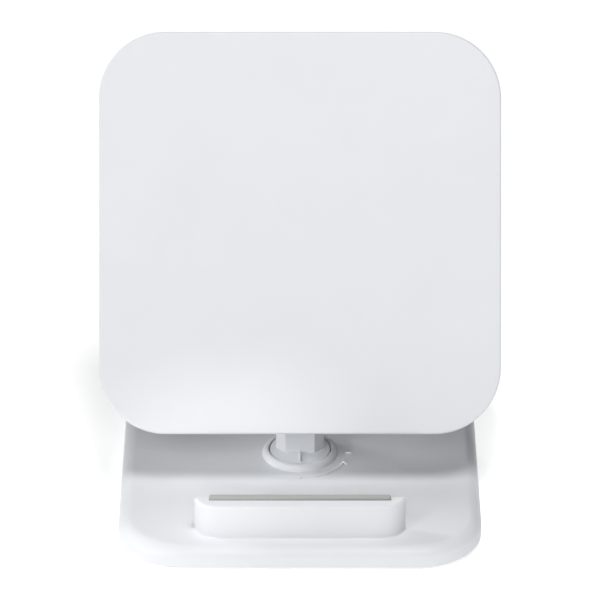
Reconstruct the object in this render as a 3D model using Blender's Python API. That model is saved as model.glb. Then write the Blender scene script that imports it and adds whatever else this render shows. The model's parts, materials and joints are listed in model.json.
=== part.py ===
"""Wireless charging stand: weighted base, twist-lock post and tilting charging pad."""
import math

import bmesh
import bpy
from mathutils import Matrix, Vector

for leftover in list(bpy.data.objects):
    bpy.data.objects.remove(leftover, do_unlink=True)

# ---------------------------------------------------------------- driving dimensions (metres)
GAP = 0.0003                    # clearance between neighbouring pieces

BASE_WIDTH = 0.0810             # X
BASE_DEPTH = 0.0831             # Y
BASE_CORNER = 0.0148
BASE_UNDERSIDE = 0.0009         # height of the plate's lower face above the desk
BASE_TOP = 0.0057
BASE_SHOULDER = 0.0024          # fillet between wall and top
BASE_WALL = 0.0016
FOOT_RADIUS = 0.0060
FOOT_HEIGHT = 0.0006
FOOT_X = 0.0300                 # the cover screws share the feet's places
FOOT_Y = 0.0298
PLATE_THICKNESS = 0.0014
BALLAST_SIZE = (0.0740, 0.0540)
BALLAST_THICKNESS = 0.0015
BALLAST_WINDOW = 0.0100         # radius of the hole under the collar
BOSS_RADIUS = 0.0026
PILOT_RADIUS = 0.0012
HEAD_WELL = (0.0025, 0.0017)    # radius and depth of the screw wells under the base
CLEARANCE_HOLE = 0.0013

RING_OUTER = 0.0085             # raised collar ring on the base
RING_BORE = 0.00715
RING_TOP = 0.0071
RING_ROUND = 0.0011
LOCK_FLOOR = (0.0034, 0.0046)   # lower and upper face of the web the lugs turn under
LOCK_HOLE = 0.0045
LOCK_LUG_REACH = 0.0062
LOCK_LUG_HALF_ANGLE = 16.0
LOCK_NOTCH_REACH = 0.0066
LOCK_NOTCH_MARGIN = 3.0         # degrees beyond the lug on each side
LOCK_LUGS = 3
UNLOCK_TURN = 90.0

MARK_RADIUS = 0.0110            # raised lock marks around the collar
MARK_HALF_WIDTH = 0.00022
MARK_HEIGHT = 0.0003
MARK_SINK = 0.0003              # depth that every mark starts below the base top
DOT_RADIUS = 0.00055
BAR_HALF_LENGTH = 0.0007
ARROW_SHAPE = ((0.0009, 0.0), (-0.0006, -0.0008), (-0.0006, 0.0008))
ARROW_LEAD = 4.4                # degrees from the arc's end to the arrowhead
ARC_START = -75.0               # degrees from +X
ARC_END = -27.0

LIP_WIDTH = 0.0473
LIP_FRONT = -0.0369
LIP_REAR = -0.0322
LIP_TOP = 0.0138
LIP_CORNER = 0.0060             # front corners, wider than the lip is deep
LIP_REAR_CORNER = 0.0005
LIP_ROUND = 0.0010              # fillet along the front top edge
LIP_REAR_ROUND = 0.0003
CUSHION_LENGTH = 0.0402
CUSHION_FRONT = -0.0337
CUSHION_REAR = -0.0320
CUSHION_FOOT = 0.0095
CUSHION_TOP = 0.0144

DISC_RADIUS = 0.00685
DISC_TOP = 0.0069
POST_WIDTH = 0.0110
POST_CHAMFER = 0.0022
POST_FRONT = -0.0019
POST_REAR = 0.0058
POST_SHOULDER = 0.0200          # height where the column starts to taper

HINGE_Y = 0.0055
HINGE_Z = 0.0270
BARREL_RADIUS = 0.0034
BARREL_HALF = 0.0050
PIN_RADIUS = 0.0014
HUB_RADIUS = 0.0042             # stem below the disc, inside the lock hole
HUB_FOOT = 0.0025
LUG_HEIGHT = (0.0026, 0.0031)
TICK_HALF_WIDTH = 0.00025
TICK_FRONT = -0.0059
TICK_RISE = 0.0004
WASHER_THICKNESS = 0.0006
WASHER_RADIUS = 0.0032
EAR_THICKNESS = 0.0014
EAR_RADIUS = 0.0034
BRACKET_SIZE = (0.0250, 0.0110)
BRACKET_THICKNESS = 0.0012
BRACKET_SCREW_X = 0.0099
HINGE_HEAD_RADIUS = 0.0026
NUT_HALF_FLATS = 0.0025
NUT_HEIGHT = 0.0017

PAD_SIZE = 0.0900
PAD_CORNER = 0.0149
PAD_LEAN = 27.7                 # degrees from upright
PAD_CENTRE = (0.0, 0.0063, 0.0592)
PAD_THICKNESS = 0.0080
PAD_SPLIT = 0.0046              # depth of the seam behind the face
PAD_ROUND = 0.0005              # fillet round the face
PAD_WALL = 0.0015
HUMP_SIZE = (0.0500, 0.0440)
HUMP_CENTRE_S = 0.0010
HUMP_DEPTH = 0.0150             # behind the face
HUMP_CORNER = 0.0070
CASE_SCREW_XY = 0.0350
CASE_SCREW_SEAT = -0.0075
COIL_INNER = 0.0090
COIL_OUTER = 0.0215
BOARD_SIZE = (0.0440, 0.0380)
BOARD_FACE = -0.0086
BOARD_THICKNESS = 0.0010
BOARD_SCREWS = ((-0.0185, 0.0165), (0.0185, 0.0165))
SOCKET_X = 0.0175
SOCKET_CENTRE_N = -0.0115
SOCKET_SIZE = (0.0089, 0.0032)
SOCKET_LENGTH = 0.0073
SOCKET_WALL = 0.0003
PORT_SIZE = (0.0096, 0.0038)
TONGUE_SIZE = (0.0066, 0.0007)

# ---------------------------------------------------------------- frames
LEAN = math.radians(PAD_LEAN)
PAD_UP = Vector((0.0, math.sin(LEAN), math.cos(LEAN)))
PAD_NORMAL = Vector((0.0, -math.cos(LEAN), math.sin(LEAN)))
PAD_FRAME = Matrix((
    (1.0, PAD_UP.x, PAD_NORMAL.x, PAD_CENTRE[0]),
    (0.0, PAD_UP.y, PAD_NORMAL.y, PAD_CENTRE[1]),
    (0.0, PAD_UP.z, PAD_NORMAL.z, PAD_CENTRE[2]),
    (0.0, 0.0, 0.0, 1.0),
))
HINGE = Vector((0.0, HINGE_Y, HINGE_Z))
HINGE_LOCAL = PAD_FRAME.inverted() @ HINGE    # across, up the pad, out of the face
HINGE_SPOT = (HINGE_LOCAL.y, HINGE_LOCAL.z)
ALONG_X = Matrix(((0, 0, 1, 0), (1, 0, 0, 0), (0, 1, 0, 0), (0, 0, 0, 1)))
ALONG_S = Matrix(((1, 0, 0, 0), (0, 0, -1, 0), (0, 1, 0, 0), (0, 0, 0, 1)))
SOCKET_FRAME = PAD_FRAME @ Matrix.Translation((SOCKET_X, 0.0, SOCKET_CENTRE_N)) @ ALONG_S
WORLD = Matrix.Identity(4)
MIDDLE = (0.0, 0.0)
TWIST_ORIGIN = (0.0, 0.0, DISC_TOP)
PAD_ORIGIN = tuple(HINGE)

# ---------------------------------------------------------------- places that follow from the dimensions
PLATE_TOP = BASE_UNDERSIDE + PLATE_THICKNESS
CEILING = BASE_TOP - BASE_WALL
FOOT_PLACES = [(sx * FOOT_X, sy * FOOT_Y) for sx in (-1, 1) for sy in (-1, 1)]
CASE_SCREWS = [(sx * CASE_SCREW_XY, sy * CASE_SCREW_XY) for sx in (-1, 1) for sy in (-1, 1)]
BRACKET_SCREWS = [(sx * BRACKET_SCREW_X, HINGE_LOCAL.y) for sx in (-1, 1)]
HUMP_CENTRE = (0.0, HUMP_CENTRE_S)
HUMP_LOW = HUMP_CENTRE_S - HUMP_SIZE[1] / 2.0
SOCKET_MOUTH = -HUMP_LOW - 0.0010
BRACKET_FRONT = -PAD_THICKNESS - GAP
BRACKET_REAR = BRACKET_FRONT - BRACKET_THICKNESS
EAR_INNER = BARREL_HALF + WASHER_THICKNESS + 2.0 * GAP
EAR_OUTER = EAR_INNER + EAR_THICKNESS
PIN_START = EAR_OUTER + GAP
BOARD_REAR = BOARD_FACE - BOARD_THICKNESS
CORNERS = ("front_left", "rear_left", "front_right", "rear_right")
PAD_CORNERS = ("lower_left", "upper_left", "lower_right", "upper_right")


# ---------------------------------------------------------------- outlines and solids
def circle(radius, steps, centre=MIDDLE):
    """Counter-clockwise circle of points."""
    points = []
    for step in range(steps):
        angle = 2.0 * math.pi * step / steps
        points.append((centre[0] + radius * math.cos(angle), centre[1] + radius * math.sin(angle)))
    return points


def rounded(width, depth, corner_radius, steps, inset=0.0, centre=MIDDLE):
    """Rounded rectangle at an inset from its edge."""
    half_x = width / 2.0 - inset
    half_y = depth / 2.0 - inset
    radius = max(corner_radius - inset, 0.00005)
    points = []
    for corner, (side_x, side_y) in enumerate(((1, 1), (-1, 1), (-1, -1), (1, -1))):
        for step in range(steps + 1):
            angle = math.pi / 2.0 * (corner + step / steps)
            x = side_x * (half_x - radius) + radius * math.cos(angle)
            y = side_y * (half_y - radius) + radius * math.sin(angle)
            points.append((centre[0] + x, centre[1] + y))
    return points


def chamfered(half_x, front, rear, chamfer):
    """Eight-sided column section."""
    return [
        (half_x, front + chamfer), (half_x, rear - chamfer),
        (half_x - chamfer, rear), (chamfer - half_x, rear),
        (-half_x, rear - chamfer), (-half_x, front + chamfer),
        (chamfer - half_x, front), (half_x - chamfer, front),
    ]


def sector(inner, outer, start, end, steps):
    """Ring segment between two angles in degrees."""
    points = []
    for radius, first, last in ((outer, start, end), (inner, end, start)):
        for step in range(steps + 1):
            angle = math.radians(first + (last - first) * step / steps)
            points.append((radius * math.cos(angle), radius * math.sin(angle)))
    return points


def prism(outline, low, high):
    """Straight extrusion."""
    return [(outline, low), (outline, high)]


def box(x0, x1, y0, y1, z0, z1):
    """Block between limits."""
    return prism([(x0, y0), (x1, y0), (x1, y1), (x0, y1)], z0, z1)


def turned(profile, steps, centre=MIDDLE):
    """Solid of revolution from (radius, height) pairs listed bottom to top."""
    return [(circle(radius, steps, centre), height) for radius, height in profile]


def fillet(radius, height, steps):
    """(inset, height) pairs of a quarter round that ends at the given top height."""
    pairs = []
    for step in range(steps + 1):
        angle = math.pi / 2.0 * step / steps
        pairs.append((radius * (1.0 - math.cos(angle)), height - radius * (1.0 - math.sin(angle))))
    return pairs


def screw(centre, seat, head_radius, head_height, shank_radius, length, steps=14):
    """Head below, shank rising from the seat."""
    profile = [
        (head_radius * 0.86, seat - head_height),
        (head_radius, seat - head_height * 0.7),
        (head_radius, seat),
        (shank_radius, seat),
        (shank_radius, seat + length * 0.88),
        (shank_radius * 0.5, seat + length),
    ]
    return turned(profile, steps, centre)


def flipped(rings, pivot):
    """Mirror a stack in height about the pivot."""
    return [(outline, 2.0 * pivot - height) for outline, height in reversed(rings)]


def add_stack(mesh, rings, looped=False):
    """Skin a stack of equal-length outlines; cap the ends unless it loops into a tube."""
    levels = []
    for outline, height in rings:
        levels.append([mesh.verts.new((x, y, height)) for x, y in outline])
    pairs = list(zip(levels, levels[1:]))
    if looped:
        pairs.append((levels[-1], levels[0]))
    else:
        mesh.faces.new(list(reversed(levels[0])))
        mesh.faces.new(levels[-1])
    for lower, upper in pairs:
        count = len(lower)
        for index in range(count):
            after = (index + 1) % count
            mesh.faces.new((lower[index], lower[after], upper[after], upper[index]))


def material(name, colour, roughness, metallic):
    """One Principled material per piece."""
    made = bpy.data.materials.new(name)
    made.use_nodes = True
    shader = made.node_tree.nodes["Principled BSDF"]
    shader.inputs["Base Color"].default_value = (colour[0], colour[1], colour[2], 1.0)
    shader.inputs["Roughness"].default_value = roughness
    shader.inputs["Metallic"].default_value = metallic
    made.diffuse_color = (colour[0], colour[1], colour[2], 1.0)
    return made


def build(name, stacks, frame=WORLD, origin=(0.0, 0.0, 0.0), looped=False):
    """Make an object from ring stacks with its origin at the given world point."""
    mesh = bmesh.new()
    for rings in stacks:
        add_stack(mesh, rings, looped)
    bmesh.ops.transform(mesh, matrix=Matrix.Translation(-Vector(origin)) @ frame, verts=mesh.verts)
    data = bpy.data.meshes.new(name)
    mesh.to_mesh(data)
    mesh.free()
    piece = bpy.data.objects.new(name, data)
    piece.location = origin
    bpy.context.scene.collection.objects.link(piece)
    return piece


# ---------------------------------------------------------------- looks: colour, roughness, metallic
WHITE = ((0.80, 0.81, 0.83), 0.48, 0.0)
GREY_RUBBER = ((0.44, 0.46, 0.45), 0.80, 0.0)
DARK_RUBBER = ((0.05, 0.05, 0.05), 0.85, 0.0)
STEEL = ((0.55, 0.56, 0.58), 0.35, 1.0)
COPPER = ((0.72, 0.36, 0.20), 0.35, 1.0)
FERRITE = ((0.06, 0.06, 0.07), 0.60, 0.0)
BOARD = ((0.03, 0.22, 0.12), 0.50, 0.0)
CERAMIC = ((0.62, 0.50, 0.36), 0.50, 0.0)
BLACK_PLASTIC = ((0.03, 0.03, 0.03), 0.55, 0.0)


def finish(piece, look):
    """Give the piece its material and shading."""
    colour, roughness, metallic = look
    piece.data.materials.append(material(piece.name + "_mat", colour, roughness, metallic))
    piece.data.shade_smooth()
    piece.data.set_sharp_from_angle(angle=math.radians(32.0))


def combine(piece, other, operation):
    """Boolean with a helper object that stays out of the render."""
    other.hide_render = True
    other.display_type = "WIRE"
    step = piece.modifiers.new(operation.lower() + "_" + other.name, "BOOLEAN")
    step.operation = operation
    step.solver = "EXACT"
    step.object = other


def simple(name, stacks, look, frame=WORLD, origin=(0.0, 0.0, 0.0), looped=False):
    """Piece without helpers."""
    finish(build(name, stacks, frame, origin, looped), look)


# ---------------------------------------------------------------- outlines of this stand
def base_outline(inset):
    """Base plan at an inset from the wall."""
    return rounded(BASE_WIDTH, BASE_DEPTH, BASE_CORNER, 9, inset)


def pad_outline(inset):
    """Pad plan at an inset from its edge."""
    return rounded(PAD_SIZE, PAD_SIZE, PAD_CORNER, 9, inset)


def hump_outline(inset):
    """Plan of the box on the pad's rear, at an inset."""
    return rounded(*HUMP_SIZE, HUMP_CORNER, 6, inset, HUMP_CENTRE)


def lip_outline(inset, steps=7):
    """Lip plan: broad round front corners cut off by a straight rear edge."""
    radius = LIP_CORNER - inset
    rear_radius = max(LIP_REAR_CORNER - inset, 0.00005)
    rear = LIP_REAR - min(inset, LIP_REAR_ROUND)
    centre_x = LIP_WIDTH / 2.0 - LIP_CORNER
    centre_y = LIP_FRONT + LIP_CORNER
    rear_y = rear - rear_radius
    end = math.asin((rear_y - centre_y) / radius)
    rear_x = centre_x + radius * math.cos(end) - rear_radius
    right = []
    for step in range(steps + 1):
        angle = -math.pi / 2.0 + (end + math.pi / 2.0) * step / steps
        right.append((centre_x + radius * math.cos(angle), centre_y + radius * math.sin(angle)))
    for step in range(1, 4):
        angle = math.pi / 2.0 * step / 3.0
        right.append((rear_x + rear_radius * math.cos(angle), rear_y + rear_radius * math.sin(angle)))
    left = [(-x, y) for x, y in reversed(right)]
    return right + left


def pad_helper(name, stacks, looped=False):
    """Helper solid in the pad's own frame."""
    return build(name, stacks, PAD_FRAME, PAD_ORIGIN, looped)


def pad_piece(name, stacks, look, looped=False):
    """Finished piece in the pad's own frame."""
    simple(name, stacks, look, PAD_FRAME, PAD_ORIGIN, looped)


def hinge_helper(name, stacks, looped=False):
    """Solid whose height runs along the hinge axis, carried by the pad."""
    return build(name, stacks, PAD_FRAME @ ALONG_X, PAD_ORIGIN, looped)


# ---------------------------------------------------------------- base cover
def lip_blank():
    """Front lip with a rounded top edge."""
    rings = [(lip_outline(0.0), BASE_TOP - 0.0008)]
    for inset, height in fillet(LIP_ROUND, LIP_TOP, 4):
        rings.append((lip_outline(inset), height))
    return build("lip_blank", [rings])


def collar_blank():
    """Raised ring round the post, with a full rounded shoulder."""
    skirt = RING_OUTER + 0.0004
    profile = [(skirt, LOCK_FLOOR[0]), (skirt, BASE_TOP - 0.0004)]
    for inset, height in fillet(RING_ROUND, RING_TOP, 4):
        profile.append((RING_OUTER - inset, height))
    return build("collar_blank", [turned(profile, 48)])


def lock_notch_cuts():
    """Passages in the web that let the lugs through a quarter turn from the locked place."""
    notches = []
    for lug in range(LOCK_LUGS):
        middle = 90.0 + UNLOCK_TURN + 120.0 * lug
        reach = LOCK_LUG_HALF_ANGLE + LOCK_NOTCH_MARGIN
        outline = sector(0.0038, LOCK_NOTCH_REACH, middle - reach, middle + reach, 6)
        notches.append(prism(outline, 0.0028, 0.0052))
    return build("lock_notch_cuts", notches)


def mark_blanks():
    """Raised lock marks: a dot, an arc with its arrowhead, and a bar."""
    low, high = BASE_TOP - MARK_SINK, BASE_TOP + MARK_HEIGHT
    dot = turned([(DOT_RADIUS, low), (DOT_RADIUS, high)], 12, (0.0, -MARK_RADIUS))
    near, far = MARK_RADIUS - MARK_HALF_WIDTH, MARK_RADIUS + MARK_HALF_WIDTH
    arc = prism(sector(near, far, ARC_START, ARC_END, 12), low, high)
    tip_angle = math.radians(ARC_END + ARROW_LEAD)
    tip = Vector((math.cos(tip_angle), math.sin(tip_angle)))
    side = Vector((-tip.y, tip.x))
    arrow = []
    for along, across in ARROW_SHAPE:
        spot = tip * (MARK_RADIUS + across) + side * along
        arrow.append((spot.x, spot.y))
    bar = box(MARK_RADIUS - BAR_HALF_LENGTH, MARK_RADIUS + BAR_HALF_LENGTH,
              -MARK_HALF_WIDTH, MARK_HALF_WIDTH, low, high)
    return build("mark_blanks", [dot, arc, prism(arrow, low, high), bar])


def make_base_cover():
    """Open-bottomed shell with the lip, collar, screw bosses and lock marks."""
    rings = [
        (base_outline(BASE_WALL + 0.0012), CEILING),
        (base_outline(BASE_WALL), CEILING - 0.0012),
        (base_outline(BASE_WALL), BASE_UNDERSIDE),
        (base_outline(0.0003), BASE_UNDERSIDE),
        (base_outline(0.0), BASE_UNDERSIDE + 0.0003),
    ]
    for inset, height in fillet(BASE_SHOULDER, BASE_TOP, 5):
        rings.append((base_outline(inset), height))
    cover = build("base_cover", [rings])
    combine(cover, lip_blank(), "UNION")
    combine(cover, collar_blank(), "UNION")
    bosses = [turned([(BOSS_RADIUS, 0.0026), (BOSS_RADIUS, CEILING + 0.0005)], 16, xy) for xy in FOOT_PLACES]
    combine(cover, build("screw_boss_blanks", bosses), "UNION")
    bore = turned([(RING_BORE, LOCK_FLOOR[1]), (RING_BORE, RING_TOP + 0.001)], 48)
    combine(cover, build("collar_bore_cut", [bore]), "DIFFERENCE")
    hole = prism(circle(LOCK_HOLE, 36), 0.0028, 0.0052)
    combine(cover, build("lock_hole_cut", [hole]), "DIFFERENCE")
    combine(cover, lock_notch_cuts(), "DIFFERENCE")
    pilots = [turned([(PILOT_RADIUS, 0.0020), (PILOT_RADIUS, 0.0044)], 14, xy) for xy in FOOT_PLACES]
    combine(cover, build("boss_hole_cuts", pilots), "DIFFERENCE")
    core = box(-0.0190, 0.0190, LIP_FRONT + 0.0011, CUSHION_FRONT - GAP - 0.0008, 0.0030, LIP_TOP - 0.0016)
    combine(cover, build("lip_core_cut", [core]), "DIFFERENCE")
    half = CUSHION_LENGTH / 2 + GAP
    rabbet = box(-half, half, CUSHION_FRONT - GAP, LIP_REAR + 0.001, CUSHION_FOOT - GAP, LIP_TOP + 0.001)
    combine(cover, build("cushion_rabbet_cut", [rabbet]), "DIFFERENCE")
    combine(cover, mark_blanks(), "UNION")
    finish(cover, WHITE)


# ---------------------------------------------------------------- other base pieces
def make_lip_cushion():
    """Rubber strip on the rear of the lip."""
    depth = CUSHION_REAR - CUSHION_FRONT
    centre = (0.0, (CUSHION_REAR + CUSHION_FRONT) / 2.0)
    rings = []
    for inset, height in ((0.0003, CUSHION_FOOT), (0.0, CUSHION_FOOT + 0.0003), (0.0, CUSHION_TOP - 0.0004),
                          (0.00015, CUSHION_TOP - 0.0001), (0.0004, CUSHION_TOP)):
        rings.append((rounded(CUSHION_LENGTH, depth, 0.0005, 3, inset, centre), height))
    simple("lip_cushion", [rings], GREY_RUBBER)


def make_base_plate():
    """Underside plate with four screw wells."""
    plate = build("base_plate", [prism(base_outline(BASE_WALL + GAP), BASE_UNDERSIDE, PLATE_TOP)])
    well_radius, well_depth = HEAD_WELL
    profile = [(well_radius, 0.0), (well_radius, well_depth), (CLEARANCE_HOLE, well_depth),
               (CLEARANCE_HOLE, PLATE_TOP + 0.0007)]
    wells = [turned(profile, 14, xy) for xy in FOOT_PLACES]
    combine(plate, build("plate_screw_cuts", wells), "DIFFERENCE")
    finish(plate, WHITE)


def make_ballast():
    """Steel weight resting on the plate."""
    low = PLATE_TOP + GAP / 3.0
    ballast = build("ballast_plate", [prism(rounded(*BALLAST_SIZE, 0.0040, 4), low, low + BALLAST_THICKNESS)])
    window = prism(circle(BALLAST_WINDOW, 40), low - 0.001, low + BALLAST_THICKNESS + 0.001)
    combine(ballast, build("ballast_window_cut", [window]), "DIFFERENCE")
    finish(ballast, STEEL)


def make_feet():
    """Four rubber feet, each over a cover screw."""
    profile = [(FOOT_RADIUS - 0.0002, 0.0), (FOOT_RADIUS, 0.0002), (FOOT_RADIUS, FOOT_HEIGHT)]
    for corner, xy in zip(CORNERS, FOOT_PLACES):
        simple("foot_" + corner, [turned(profile, 24, xy)], DARK_RUBBER)
        simple("base_screw_" + corner, [screw(xy, 0.0014, 0.0021, 0.0004, 0.0009, 0.0022)], STEEL)


# ---------------------------------------------------------------- post
def make_post():
    """Disc with its tick, chamfered column, lock lugs and hinge barrel."""
    disc = [
        (HUB_RADIUS, HUB_FOOT),
        (HUB_RADIUS, LOCK_FLOOR[1] + GAP),
        (DISC_RADIUS, LOCK_FLOOR[1] + GAP),
        (DISC_RADIUS, DISC_TOP - 0.0002),
        (DISC_RADIUS - 0.0002, DISC_TOP),
    ]
    post = build("post", [turned(disc, 48)], origin=TWIST_ORIGIN)
    section = chamfered(POST_WIDTH / 2, POST_FRONT, POST_REAR, POST_CHAMFER)
    neck = chamfered(BARREL_HALF, HINGE_Y - 0.0030, HINGE_Y + 0.0030, 0.0008)
    column = [(section, DISC_TOP - 0.0009), (section, POST_SHOULDER), (neck, HINGE_Z - 0.0010)]
    combine(post, build("column_blank", [column]), "UNION")
    axis = (HINGE_Y, HINGE_Z)
    barrel = prism(circle(BARREL_RADIUS, 32, axis), -BARREL_HALF, BARREL_HALF)
    combine(post, build("barrel_blank", [barrel], ALONG_X), "UNION")
    lugs = []
    for lug in range(LOCK_LUGS):
        middle = 90.0 + 120.0 * lug
        outline = sector(0.0036, LOCK_LUG_REACH, middle - LOCK_LUG_HALF_ANGLE, middle + LOCK_LUG_HALF_ANGLE, 5)
        lugs.append(prism(outline, *LUG_HEIGHT))
    combine(post, build("lug_blanks", lugs), "UNION")
    tick = box(-TICK_HALF_WIDTH, TICK_HALF_WIDTH, TICK_FRONT, POST_FRONT + 0.0004,
               DISC_TOP - TICK_RISE, DISC_TOP + TICK_RISE)
    combine(post, build("tick_blank", [tick]), "UNION")
    bore = prism(circle(PIN_RADIUS + GAP, 20, axis), -0.0080, 0.0080)
    combine(post, build("pin_bore_cut", [bore], ALONG_X), "DIFFERENCE")
    finish(post, WHITE)


def make_friction_washers():
    """One washer at each end of the hinge barrel."""
    axis = (HINGE_Y, HINGE_Z)
    hole = circle(PIN_RADIUS + GAP, 20, axis)
    rim = circle(WASHER_RADIUS, 20, axis)
    for side_name, sign in (("left", -1), ("right", 1)):
        low, high = sorted((sign * (BARREL_HALF + GAP), sign * (BARREL_HALF + GAP + WASHER_THICKNESS)))
        washer = [(rim, low), (rim, high), (hole, high), (hole, low)]
        simple("friction_washer_" + side_name, [washer], STEEL, ALONG_X, PAD_ORIGIN, looped=True)


# ---------------------------------------------------------------- pad shells
def make_front_cover():
    """Face shell with four screw bosses."""
    rings = [
        (pad_outline(PAD_WALL), -PAD_WALL),
        (pad_outline(PAD_WALL), -PAD_SPLIT),
        (pad_outline(0.0), -PAD_SPLIT),
    ]
    for inset, height in fillet(PAD_ROUND, 0.0, 3):
        rings.append((pad_outline(inset), height))
    cover = pad_helper("front_cover", [rings])
    bosses = [turned([(0.0027, -0.0056), (0.0027, -PAD_WALL + 0.0005)], 16, xy) for xy in CASE_SCREWS]
    combine(cover, pad_helper("front_boss_blanks", bosses), "UNION")
    pilots = [turned([(PILOT_RADIUS, -0.0060), (PILOT_RADIUS, -0.0020)], 14, xy) for xy in CASE_SCREWS]
    combine(cover, pad_helper("front_boss_cuts", pilots), "DIFFERENCE")
    finish(cover, WHITE)


def rear_screw_cuts():
    """Wells for the case screws, pilots for the bracket and board screws."""
    well = [(0.0024, -0.0090), (0.0024, -0.0072), (0.0014, -0.0072), (0.0014, -0.0040)]
    cuts = [turned(well, 14, xy) for xy in CASE_SCREWS]
    cuts += [turned([(PILOT_RADIUS, -0.0090), (PILOT_RADIUS, -0.0042)], 14, xy) for xy in BRACKET_SCREWS]
    cuts += [turned([(0.0011, -0.0125), (0.0011, -0.0080)], 12, xy) for xy in BOARD_SCREWS]
    return pad_helper("rear_screw_cuts", cuts)


def make_rear_cover():
    """Rear shell with the electronics hump, bosses and the socket's opening."""
    rings = []
    for inset, height in reversed(fillet(0.0024, 0.0, 4)):
        rings.append((pad_outline(inset), -PAD_THICKNESS - height))
    rings.append((pad_outline(0.0), -PAD_SPLIT - GAP))
    rings.append((pad_outline(PAD_WALL), -PAD_SPLIT - GAP))
    rings.append((pad_outline(PAD_WALL + 0.0010), -PAD_THICKNESS + PAD_WALL))
    cover = pad_helper("rear_cover", [rings])
    hump = [(hump_outline(inset), -HUMP_DEPTH - height) for inset, height in reversed(fillet(0.0022, 0.0, 4))]
    hump.append((hump_outline(0.0), -PAD_THICKNESS + 0.0006))
    combine(cover, pad_helper("hump_blank", [hump]), "UNION")
    bosses = [turned([(BOSS_RADIUS, -PAD_THICKNESS + 0.0006), (BOSS_RADIUS, -0.0048)], 16, xy)
              for xy in BRACKET_SCREWS]
    combine(cover, pad_helper("bracket_boss_blanks", bosses), "UNION")
    cavity = prism(hump_outline(PAD_WALL), -HUMP_DEPTH + PAD_WALL, -0.0056)
    combine(cover, pad_helper("hump_cavity_cut", [cavity]), "DIFFERENCE")
    standoff = [(0.0020, -HUMP_DEPTH + 0.0008), (0.0020, BOARD_REAR - GAP)]
    posts = [turned(standoff, 14, xy) for xy in BOARD_SCREWS]
    combine(cover, pad_helper("board_post_blanks", posts), "UNION")
    combine(cover, rear_screw_cuts(), "DIFFERENCE")
    port = prism(rounded(*PORT_SIZE, PORT_SIZE[1] / 2.0, 5), -HUMP_LOW - 0.0045, -HUMP_LOW + 0.0010)
    combine(cover, build("port_cut", [port], SOCKET_FRAME, PAD_ORIGIN), "DIFFERENCE")
    finish(cover, WHITE)


# ---------------------------------------------------------------- electronics in the pad
def make_coil_and_ferrite():
    """Flat winding with its shield sheet behind it."""
    outer, inner = circle(COIL_OUTER, 48), circle(COIL_INNER, 48)
    low, high = -0.0030, -PAD_WALL - GAP
    winding = [(outer, low), (outer, high), (inner, high), (inner, low)]
    pad_piece("charging_coil", [winding], COPPER, looped=True)
    pad_piece("ferrite_sheet", [prism(rounded(0.0500, 0.0500, 0.0030, 3), -0.0041, low - GAP)], FERRITE)


def make_board():
    """Circuit board on two posts."""
    outline = rounded(*BOARD_SIZE, 0.0020, 3, 0.0, HUMP_CENTRE)
    board = pad_helper("circuit_board", [prism(outline, BOARD_REAR, BOARD_FACE)])
    holes = [turned([(0.0012, -0.0105), (0.0012, -0.0080)], 12, xy) for xy in BOARD_SCREWS]
    combine(board, pad_helper("board_screw_cuts", holes), "DIFFERENCE")
    finish(board, BOARD)


# name, place across, place up, width, depth, height, look
ELECTRONICS = (
    ("control_chip", -0.0060, 0.0050, 0.0070, 0.0070, 0.0010, BLACK_PLASTIC),
    ("driver_chip", 0.0060, 0.0060, 0.0050, 0.0050, 0.0010, BLACK_PLASTIC),
    ("power_inductor", 0.0055, -0.0060, 0.0070, 0.0070, 0.0026, FERRITE),
    ("resonant_capacitor_a", -0.0150, -0.0030, 0.0032, 0.0025, 0.0020, CERAMIC),
    ("resonant_capacitor_b", -0.0150, -0.0070, 0.0032, 0.0025, 0.0020, CERAMIC),
    ("resonant_capacitor_c", -0.0150, -0.0110, 0.0032, 0.0025, 0.0020, CERAMIC),
    ("bulk_capacitor", -0.0050, -0.0110, 0.0070, 0.0043, 0.0019, CERAMIC),
)


def make_electronics():
    """Chips, inductor and capacitors on the rear of the board."""
    top = BOARD_REAR - GAP
    for name, across, up, width, depth, height, look in ELECTRONICS:
        pad_piece(name, [prism(rounded(width, depth, 0.0003, 2, 0.0, (across, up)), top - height, top)], look)


def make_socket():
    """USB-C shell and the tongue inside it."""
    back = SOCKET_MOUTH - SOCKET_LENGTH
    radius = SOCKET_SIZE[1] / 2.0
    rings = [(rounded(*SOCKET_SIZE, radius, 5, inset), height) for inset, height in
             ((0.0, back), (0.0, SOCKET_MOUTH), (SOCKET_WALL, SOCKET_MOUTH), (SOCKET_WALL, back + 0.0008))]
    simple("usb_socket", [rings], STEEL, SOCKET_FRAME, PAD_ORIGIN)
    tongue = prism(rounded(*TONGUE_SIZE, 0.0002, 2), back + 0.0011, SOCKET_MOUTH - 0.0006)
    simple("usb_tongue", [tongue], BLACK_PLASTIC, SOCKET_FRAME, PAD_ORIGIN)


# ---------------------------------------------------------------- tilt bracket and fasteners
def ear_outline():
    """Ear plan: a round end about the hinge axis, widening to the bracket's plate."""
    points = []
    up, out = HINGE_SPOT
    for step in range(15):
        angle = math.pi + math.pi * step / 14
        points.append((up + EAR_RADIUS * math.cos(angle), out + EAR_RADIUS * math.sin(angle)))
    points.append((up + 0.0042, BRACKET_FRONT - 0.0003))
    points.append((up - 0.0042, BRACKET_FRONT - 0.0003))
    return points


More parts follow.
